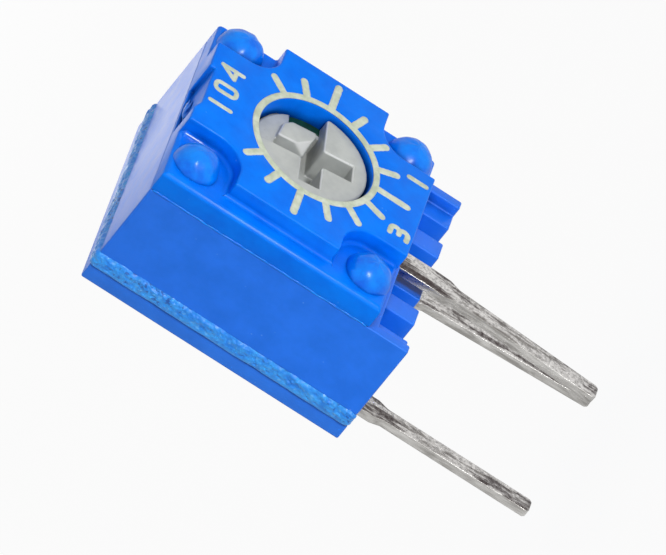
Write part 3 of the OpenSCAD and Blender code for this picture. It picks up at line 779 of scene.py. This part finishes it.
# %% Round the housing, the lid and the leads
# Where a lead starts to lean, its face has a step of 0.002 mm. A wider merge closes it.
BODY_ROUND, LEAD_ROUND = 0.05, 0.03
LEAD_MERGE = 0.003
housing = rounded_copy("housing", "housing_shell", BODY_ROUND)
wear(housing, BODY_BLUE, "body_plastic", "housing")
lid = rounded_copy("back_lid", "lid_shell", BODY_ROUND)
wear(lid, LID_BLUE, "lid_plastic", "back_lid")
for number in (1, 2, 3):
    lead = rounded_copy(f"terminal_{number}", f"lead_{number}", LEAD_ROUND, segments=2,
                        merge=LEAD_MERGE)
    wear(lead, TIN, "tinned_lead", f"terminal_{number}")
print("housing edges:", len(housing.data.edges), "lead edges:", len(lead.data.edges))

# %% Round the rotor
ROTOR_ROUND = 0.075
NOTCH_SIDES = (-12, 48)
NOTCH_FLOOR = -0.85
NECK_INSIDE = 1.05


def rotor_weight(middle, angle):
    """Edges that stand out are rounded fully, and inner corners half as much. Under the notch
    in the rim the neck's wall is too thin to round, so its edges stay sharp there."""
    off = middle[:, [0, 2]] - DIAL
    side = np.degrees(np.arctan2(off[:, 1], off[:, 0]))
    in_notch = ((side > NOTCH_SIDES[0]) & (side < NOTCH_SIDES[1]) & (middle[:, 1] > NOTCH_FLOOR)
                & (middle[:, 1] < 0) & (np.linalg.norm(off, axis=1) > NECK_INSIDE))
    return np.where(in_notch, 0.0, np.where(angle > 0, 1.0, 0.5))


rotor = rounded_copy("rotor", "rotor_shell", ROTOR_ROUND, rotor_weight)
wear(rotor, ROTOR_GREY, "rotor_plastic", "rotor", body="rotor_body")
print("rotor edges:", len(rotor.data.edges))

# %% [markdown]
# ## Surfaces from arrays
#
# The pieces below are worked out with numpy: a grid of points is filled from a formula of two
# parameters, as whole arrays, and its faces follow from the grid's rows and columns.

# %% Write the helpers for grids
WELD = 0.00002


def tube_faces(rings, around, closed):
    """Quads between neighbouring rings of a tube. An open tube gets a face at each end."""
    row = np.arange(rings if closed else rings - 1)[:, None]
    col = np.arange(around)[None, :]
    here, there = row * around, (row + 1) % rings * around
    near, far = col + 0 * row, (col + 1) % around + 0 * row
    quads = np.stack([here + near, here + far, there + far, there + near], axis=-1)
    faces = quads.reshape(-1, 4).tolist()
    if not closed:
        faces += [list(range(around))[::-1], list(range((rings - 1) * around, rings * around))]
    return faces


def piece_from(name, parts):
    """One mesh object from a list of (points in millimetres, faces), its faces turned outward."""
    points, faces, start = [], [], 0
    for part_points, part_faces in parts:
        flat = part_points.reshape(-1, 3)
        points.append(flat)
        faces += [[start + i for i in face] for face in part_faces]
        start += len(flat)
    mesh = bpy.data.meshes.new(name)
    mesh.from_pydata((np.concatenate(points) * MM).tolist(), [], faces)
    work = bmesh.new()
    work.from_mesh(mesh)
    bmesh.ops.remove_doubles(work, verts=work.verts, dist=WELD * MM)
    bmesh.ops.recalc_face_normals(work, faces=work.faces)
    for face in work.faces:
        face.smooth = True
    work.to_mesh(mesh)
    work.free()
    piece = bpy.data.objects.new(name, mesh)
    scene.collection.objects.link(piece)
    return piece


print("grid helpers are ready")

# %% Write the helpers for paths and waves
def resample(points, step):
    """Points at equal steps along a polyline."""
    points = np.asarray(points, float)
    run = np.concatenate([[0], np.cumsum(np.linalg.norm(np.diff(points, axis=0), axis=1))])
    at = np.linspace(0, run[-1], max(int(run[-1] / step) + 1, 3))
    return np.stack([np.interp(at, run, points[:, i]) for i in (0, 1)], axis=1)


def ways_along(path, closed):
    """The direction of a path at each of its points, of length 1."""
    if closed:
        way = np.roll(path, -1, axis=0) - np.roll(path, 1, axis=0)
    else:
        way = np.gradient(path, axis=0)
    return way / np.linalg.norm(way, axis=1, keepdims=True)


def arc(centre, radius, start, end, count=24):
    """Points on an arc, from one angle to another, in degrees."""
    angle = np.radians(np.linspace(start, end, count))
    return np.array(centre) + radius * np.stack([np.cos(angle), np.sin(angle)], axis=1)


def box_path(half_x, half_z, radius, centre):
    """A closed path round a box with round corners."""
    inner = np.array([[1, 1], [-1, 1], [-1, -1], [1, -1]]) * [half_x - radius, half_z - radius]
    turns = [arc(c, radius, 90 * i, 90 * i + 90, 12) for i, c in enumerate(inner)]
    return np.concatenate(turns + [turns[0][:1]]) + centre


def wave(t, rng, terms, first):
    """A smooth random curve over one turn of t, from 0 to 1: a sum of sines with falling
    height and random phase. It closes on itself."""
    k = np.arange(first, first + terms)
    height = rng.normal(size=terms) / np.sqrt(k - first + 1)
    phase = rng.uniform(0, 2 * np.pi, terms)
    total = (height[:, None] * np.sin(2 * np.pi * k[:, None] * t[None, :] + phase[:, None])).sum(0)
    return total / np.abs(total).max()


print("path helpers are ready")

# %% [markdown]
# ## The printed dial
#
# The ring, the ticks and the figures are printed on the dial plate. Each stroke of ink stands
# a little proud, with a round shoulder and an edge that wanders slightly. A stroke is a
# profile carried along a path: its half-width shrinks to nothing round the path's ends, as a
# half circle does, and its top is a flat cushion. Text objects could give the figures, but
# these plain strokes have the same round ends as the ticks.

# %% Write the ink stroke
INK_T = PLATE_Y - INK_Y
INK_SINK = 0.008
INK_STEP = 0.02
END_ROWS = 8
END_REACH = 0.995
ACROSS = 11
ink_rng = np.random.default_rng(11)


def with_ends(path, half):
    """The path with rows added past both ends, and each row's share of the half-width, which
    is sqrt(1 - e^2) where e is how far past the end the row lies."""
    way = ways_along(path, closed=False)
    over = np.sin(np.linspace(0, 1, END_ROWS + 1)[1:] * np.pi / 2) * END_REACH
    before = path[0] - half * over[::-1, None] * way[0]
    after = path[-1] + half * over[:, None] * way[-1]
    tip = np.sqrt(1 - over ** 2)
    return (np.concatenate([before, path, after]),
            np.concatenate([tip[::-1], np.ones(len(path)), tip]))


def ink(points, width, closed=False, wander=0.05):
    """A stroke of ink along points (x, z). Across it, with v from -1 to 1, the height is
    (1 - |v|^3)^(1/2) times the ink's thickness. The half-width wanders along both sides, and
    shrinks round an open end."""
    half = width / 2
    path = resample(points, INK_STEP)
    if closed:
        path = path[:-1]
        shrink = np.ones(len(path))
    else:
        path, shrink = with_ends(path, half)
    way = ways_along(path, closed)
    across = np.stack([-way[:, 1], way[:, 0]], axis=1)
    t = np.arange(len(path)) / len(path)
    sides = [1 + wander * wave(t, ink_rng, 9, 2) for _ in range(2)]
    v = np.cos(np.linspace(0, np.pi, ACROSS))
    high = np.concatenate([[0.0], np.sqrt(1 - np.abs(v) ** 3), [0.0]])
    v = np.concatenate([[1.0], v, [-1.0]])
    low = np.zeros(len(v))
    low[[0, -1]] = INK_SINK
    reach = np.where(v[None, :] > 0, sides[0][:, None], sides[1][:, None])
    offset = half * shrink[:, None] * reach * v[None, :]
    xz = path[:, None, :] + offset[:, :, None] * across[:, None, :]
    y = PLATE_Y + low[None, :] - INK_T * high[None, :] * np.sqrt(shrink)[:, None]
    grid = np.stack([xz[..., 0], y, xz[..., 1]], axis=-1)
    return grid, tube_faces(len(path), len(v), closed)


def print_ink(name, strokes, node):
    """Makes a printed piece from strokes, in place of its CAD node."""
    piece = piece_from(name, strokes)
    wear(piece, CREAM_INK, "printed_ink", node)
    print(name, "has", len(piece.data.polygons), "faces")


print("ink is", round(INK_T, 3), "mm thick")

# %% Print the ring
RING_W = 0.19
RING_SHRINK = 0.02
ring_angle = np.linspace(0, 2 * np.pi, 721)
ring_radius = RING_OUT - RING_SHRINK - RING_W / 2
ring_path = DIAL + ring_radius * np.stack([np.cos(ring_angle), np.sin(ring_angle)], 1)
print_ink("printed_ring", [ink(ring_path, RING_W, closed=True, wander=0.07)], "dial_ring")

# %% Print the ticks
# The ticks to the left, below and to the right are longer than the others.
STROKE = 0.22
TICK_STEP = 22.5
FIRST_TICK = 135
TICK_COUNT = 13
TICK_ROOT = RING_OUT - 0.03
SHORT_TIP, SIDE_TIP = 2.5, (TICKS_HIGH[0] - TICKS_LOW[0]) / 2
LONG_TIPS = {2: SIDE_TIP, 6: DIAL[1] - TICKS_LOW[2], 10: SIDE_TIP}

tick_parts = []
for i in range(TICK_COUNT):
    angle = math.radians(FIRST_TICK + i * TICK_STEP)
    way = np.array([math.cos(angle), math.sin(angle)])
    tip = LONG_TIPS.get(i, SHORT_TIP) - STROKE / 2
    tick_parts.append(ink([DIAL + TICK_ROOT * way, DIAL + tip * way], STROKE))
print_ink("printed_ticks", tick_parts, "dial_ticks")

# %% Print the 1 and the 3
MARK_STROKE = 0.16
one_low, one_high = edges_of("mark_1")
one_x = (one_low[0] + one_high[0]) / 2
print_ink("printed_1", [ink([[one_x, one_low[2] + MARK_STROKE / 2],
                             [one_x, one_high[2] - MARK_STROKE / 2]], MARK_STROKE)], "mark_1")

three_low, three_high = edges_of("mark_3")
bowl = (three_high[2] - three_low[2] - MARK_STROKE) / 4
bowl_x = three_high[0] - MARK_STROKE / 2 - bowl
three_z = (three_low[2] + three_high[2]) / 2
left_x = three_low[0] + MARK_STROKE / 2
upper = np.concatenate([[[left_x, three_z + 2 * bowl]],
                        arc((bowl_x, three_z + bowl), bowl, 90, -90),
                        [[(left_x + bowl_x) / 2, three_z]]])
lower = np.concatenate([arc((bowl_x, three_z - bowl), bowl, 90, -90),
                        [[left_x, three_z - 2 * bowl]]])
print_ink("printed_3", [ink(upper, MARK_STROKE), ink(lower, MARK_STROKE)], "mark_3")

# %% Print the value
VALUE_STROKE = 0.135
FIGURE_STEP = 0.7
ZERO_CORNER = 0.13
value_low, value_high = edges_of("value_mark")
half_x = value_high[0] - value_low[0] - VALUE_STROKE - 2 * FIGURE_STEP
half_z = (value_high[2] - value_low[2] - VALUE_STROKE) / 2
middle_z = (value_low[2] + value_high[2]) / 2
top_z, foot_z, bar_z = middle_z + half_z, middle_z - half_z, middle_z - half_z / 3
digit_x, four_x = value_low[0] + VALUE_STROKE / 2, value_high[0] - VALUE_STROKE / 2
zero_x, four_left = four_x - half_x - FIGURE_STEP, four_x - 2 * half_x
print_ink("printed_value", [
    ink([[digit_x, foot_z], [digit_x, top_z]], VALUE_STROKE),
    ink(box_path(half_x, half_z, ZERO_CORNER, [zero_x, middle_z]), VALUE_STROKE, closed=True),
    ink([[four_x, foot_z], [four_x, top_z]], VALUE_STROKE),
    ink([[four_x, top_z], [four_left, bar_z]], VALUE_STROKE),
    ink([[four_left, bar_z], [four_x, bar_z]], VALUE_STROKE),
], "value_mark")

# %% [markdown]
# ## Melted stake heads
#
# Four pins of the housing come through the corners of the cover and are melted over with a
# hot tool, which holds the cover on. Each head is a low dome with a slightly uneven skin. A
# UV sphere could be squashed into shape. Here the dome is a function of angle and radius, and
# the lumps are waves in both, so every head differs.

# %% Melt the stake heads
# Each head's place, x and z, and how tall it is.
HEADS = ((-2.42, 1.88, 0.53), (-2.4, 7.08, 0.53), (2.7, 1.92, 0.56), (2.7, 7.08, 0.56))
HEAD_R = 0.65
HEAD_SINK = 0.03
HEAD_AROUND, HEAD_ROWS = 96, 34


def melted_head(x, z, tall, rng):
    """A dome round (x, z): the ball through its rim and top gives the height at each radius,
    and the rim and the skin move in and out by a few hundredths of a millimetre."""
    t = np.arange(HEAD_AROUND) / HEAD_AROUND
    turn = 2 * np.pi * t
    s = np.linspace(0.0, 1.0, HEAD_ROWS)[:, None]
    ball = (HEAD_R ** 2 + tall ** 2) / (2 * tall)
    lean = np.arcsin(HEAD_R / ball)
    tilt = lean * (1 - s)
    rim = 1 + 0.03 * wave(t, rng, 5, 2)[None, :]
    skin = (1 + 0.022 * wave(t, rng, 6, 2) * np.sin(tilt * 3.1)
            + 0.012 * wave(t, rng, 9, 3) * np.sin(tilt * 7))
    radius = ball * np.sin(tilt) * rim * skin
    height = ball * (np.cos(tilt) - np.cos(lean)) * skin
    grid = np.stack([x + radius * np.cos(turn), FLANGE_Y - height, z + radius * np.sin(turn)], -1)
    skirt = grid[:1].copy()
    skirt[..., 1] = FLANGE_Y + HEAD_SINK
    return np.concatenate([skirt, grid]), tube_faces(HEAD_ROWS + 1, HEAD_AROUND, closed=False)


head_rng = np.random.default_rng(5)
heads = piece_from("stake_heads", [melted_head(*head, head_rng) for head in HEADS])
wear(heads, MELTED_BLUE, "body_plastic")
print("stake heads:", len(heads.data.polygons), "faces")

# %% [markdown]
# ## The epoxy bead
#
# The bead runs round the seam between the housing and the lid. It is a profile carried along
# the outline of the body: it stands proud like a lip at the lid, where it throws a shadow, and
# creeps up the housing in a ragged line. Lumps of several sizes stand out from it, and at one
# lower corner it has sagged. A plain sweep with a rough material would look like painted
# sandpaper from the side, so the lumps are in the shape: smooth random fields on the grid of
# length and girth.

# %% Write the lumps
def lumpy(shape, cells, rng):
    """A smooth random field on a grid that closes on itself along its first side: random
    values on a coarse grid, joined by cosine steps."""
    rough = rng.normal(size=cells)
    rough = np.concatenate([rough, rough[:1]], axis=0)
    at = [np.linspace(0, cells[0], shape[0], endpoint=False),
          np.linspace(0, cells[1] - 1.001, shape[1])]
    whole = [a.astype(int) for a in at]
    part = [(1 - np.cos(np.pi * (a - w))) / 2 for a, w in zip(at, whole)]
    i, j = np.meshgrid(*whole, indexing="ij")
    u, v = np.meshgrid(*part, indexing="ij")
    return (rough[i, j] * (1 - u) * (1 - v) + rough[i + 1, j] * u * (1 - v)
            + rough[i, j + 1] * (1 - u) * v + rough[i + 1, j + 1] * u * v)


print("lumps are ready")

# %% Sweep the bead
BEAD_BASE, BEAD_PROUD = -0.05, 0.115
BEAD_CORNER = 0.1
BEAD_STEP, BEAD_AROUND = 0.024, 34
BEAD_INSIDE = 0.25
SAG, SAG_REACH = 0.07, 0.35


def epoxy_bead():
    """The bead as a closed tube, with u along the body's outline and v from the housing to the
    lid. Its height over the side is BEAD_BASE + (BEAD_PROUD + lumps) * rise(v) * fall(v). The
    rise is a smooth step over the seam's first edge, where the skin comes out of the housing
    in a ragged line, and the fall is a steep shoulder at the lid."""
    rng = np.random.default_rng(23)
    half = HOUSING_HIGH[0]
    z0, z1 = BEAD_LOW[2] + 0.02, HOUSING_HIGH[2]
    outline = box_path(half, (z1 - z0) / 2, BEAD_CORNER, [0, (z0 + z1) / 2])
    path = resample(outline, BEAD_STEP)[:-1]
    way = ways_along(path, closed=True)
    outward = np.stack([way[:, 1], -way[:, 0]], axis=1)
    rows = len(path)
    t = np.arange(rows) / rows
    v = np.linspace(0, 1, BEAD_AROUND)[None, :]
    y0 = BEAD_LOW[1] - 0.11 + 0.035 * wave(t, rng, 70, 6)[:, None]
    y1 = BEAD_HIGH[1] + 0.01 + 0.014 * wave(t, rng, 40, 8)[:, None]
    y = y0 + (y1 - y0) * v
    step = np.clip((y - y0) / 0.22, 0, 1)
    rise = step ** 2 * (3 - 2 * step)
    fall = (1 - v ** 22) ** 0.5
    big, mid, small = (lumpy((rows, BEAD_AROUND), cells, rng)
                       for cells in ((90, 4), (300, 9), (760, 20)))
    lumps = np.clip(0.014 * big + 0.014 * mid + 0.008 * small, -0.055, 0.018)
    corner = (path[:, 0] + half) ** 2 + (path[:, 1] - z0) ** 2
    corner = np.exp(-corner / SAG_REACH ** 2)[:, None]
    outer = BEAD_BASE + (BEAD_PROUD + lumps * (1 - v ** 6) + 0.01 * corner) * rise * fall
    xz = path[:, None, :] + outer[..., None] * outward[:, None, :]
    xz[..., 1] -= SAG * corner * rise * fall
    grid = np.stack([xz[..., 0], y, xz[..., 1]], axis=-1)
    inside = path[:, None, :] - BEAD_INSIDE * outward[:, None, :] + np.zeros((rows, 2, 2))
    deep = np.stack([inside[..., 0], np.concatenate([y[:, -1:], y[:, :1]], 1), inside[..., 1]], -1)
    return np.concatenate([grid, deep], axis=1), tube_faces(rows, BEAD_AROUND + 2, closed=True)


bead = piece_from("epoxy_bead", [epoxy_bead()])
wear(bead, BLUE_EPOXY, "sealing_epoxy", "sealing_bead")
print("bead:", len(bead.data.polygons), "faces")

# %% [markdown]
# ## Moulding flash
#
# Where the cover meets the housing, a little plastic was squeezed out along both sides of the
# body, and it shows as a thin pale line. It is a tube along the parting line, whose radius
# wanders. A straight rounded edge would look machined.

# %% Squeeze out the flash
FLASH_R = 0.045
FLASH_IN = 0.012
FLASH_END = 0.06
FLASH_ROWS, FLASH_AROUND = 260, 10
flash_rng = np.random.default_rng(31)


def flash(x, z0, z1):
    """A tube along z at the parting line. Its radius is FLASH_R times a sum of waves, and it
    shrinks to nothing at both ends as sqrt(1 - e^2)."""
    t = np.linspace(0, 1, FLASH_ROWS)
    ends = np.sqrt(np.clip(1 - np.clip(np.abs(2 * t - 1) * 40 - 39, 0, 0.99) ** 2, 0, 1))
    radius = (FLASH_R * (0.72 + 0.28 * wave(t, flash_rng, 30, 3)) * ends)[:, None]
    turn = 2 * np.pi * np.arange(FLASH_AROUND) / FLASH_AROUND
    side = x + radius * np.cos(turn) * 0.8
    depth = COVER_HIGH[1] + radius * np.sin(turn) + 0.012 * wave(t, flash_rng, 20, 2)[:, None]
    height = (z0 + (z1 - z0) * t)[:, None] + 0 * side
    return (np.stack([side, depth, height], axis=-1),
            tube_faces(FLASH_ROWS, FLASH_AROUND, closed=False))


flashes = piece_from("parting_flash", [
    flash(x, COVER_LOW[2] + FLASH_END, COVER_HIGH[2] - FLASH_END)
    for x in (HOUSING_LOW[0] + FLASH_IN, HOUSING_HIGH[0] - FLASH_IN)])
wear(flashes, MELTED_BLUE, "cover_plastic")
print("flash:", len(flashes.data.polygons), "faces")

# %% [markdown]
# ## The torn gate
#
# The plastic entered the cover's mould through a small gate in the recess of the upper end,
# and was torn off there. The stub is a ball whose radius follows waves in both angles, pressed
# flat to fit the recess. A cube with a displacement would do, but its corners would show.

# %% Tear the gate
STUB_MIDDLE = (-0.02, -0.42, COVER_HIGH[2] - 0.13)
STUB_RADII = (0.42, 0.12, 0.12)
STUB_ROWS, STUB_AROUND = 40, 64


def torn_gate():
    """A closed blob: middle + radii * (1 + waves) * (cos(b) cos(a), cos(b) sin(a), sin(b))."""
    rng = np.random.default_rng(41)
    t = np.arange(STUB_AROUND) / STUB_AROUND
    a = 2 * np.pi * np.arange(STUB_AROUND)[None, :] / STUB_AROUND
    b = np.linspace(-np.pi / 2, np.pi / 2, STUB_ROWS)[:, None]
    rough = wave(t, rng, 8, 3)[None, :] * np.cos(b) ** 2 * np.cos(4 * b + 0.6)
    size = 1 + 0.2 * rough + 0.16 * np.cos(b) ** 2 * np.sin(7 * b + 5 * a)
    way = np.stack([np.cos(b) * np.cos(a), np.cos(b) * np.sin(a), np.sin(b) + 0 * a], axis=-1)
    grid = np.array(STUB_MIDDLE) + np.array(STUB_RADII) * size[..., None] * way
    return grid, tube_faces(STUB_ROWS, STUB_AROUND, closed=False)


stub = piece_from("torn_gate", [torn_gate()])
wear(stub, MELTED_BLUE, "cover_plastic")
print("gate stub:", len(stub.data.polygons), "faces")
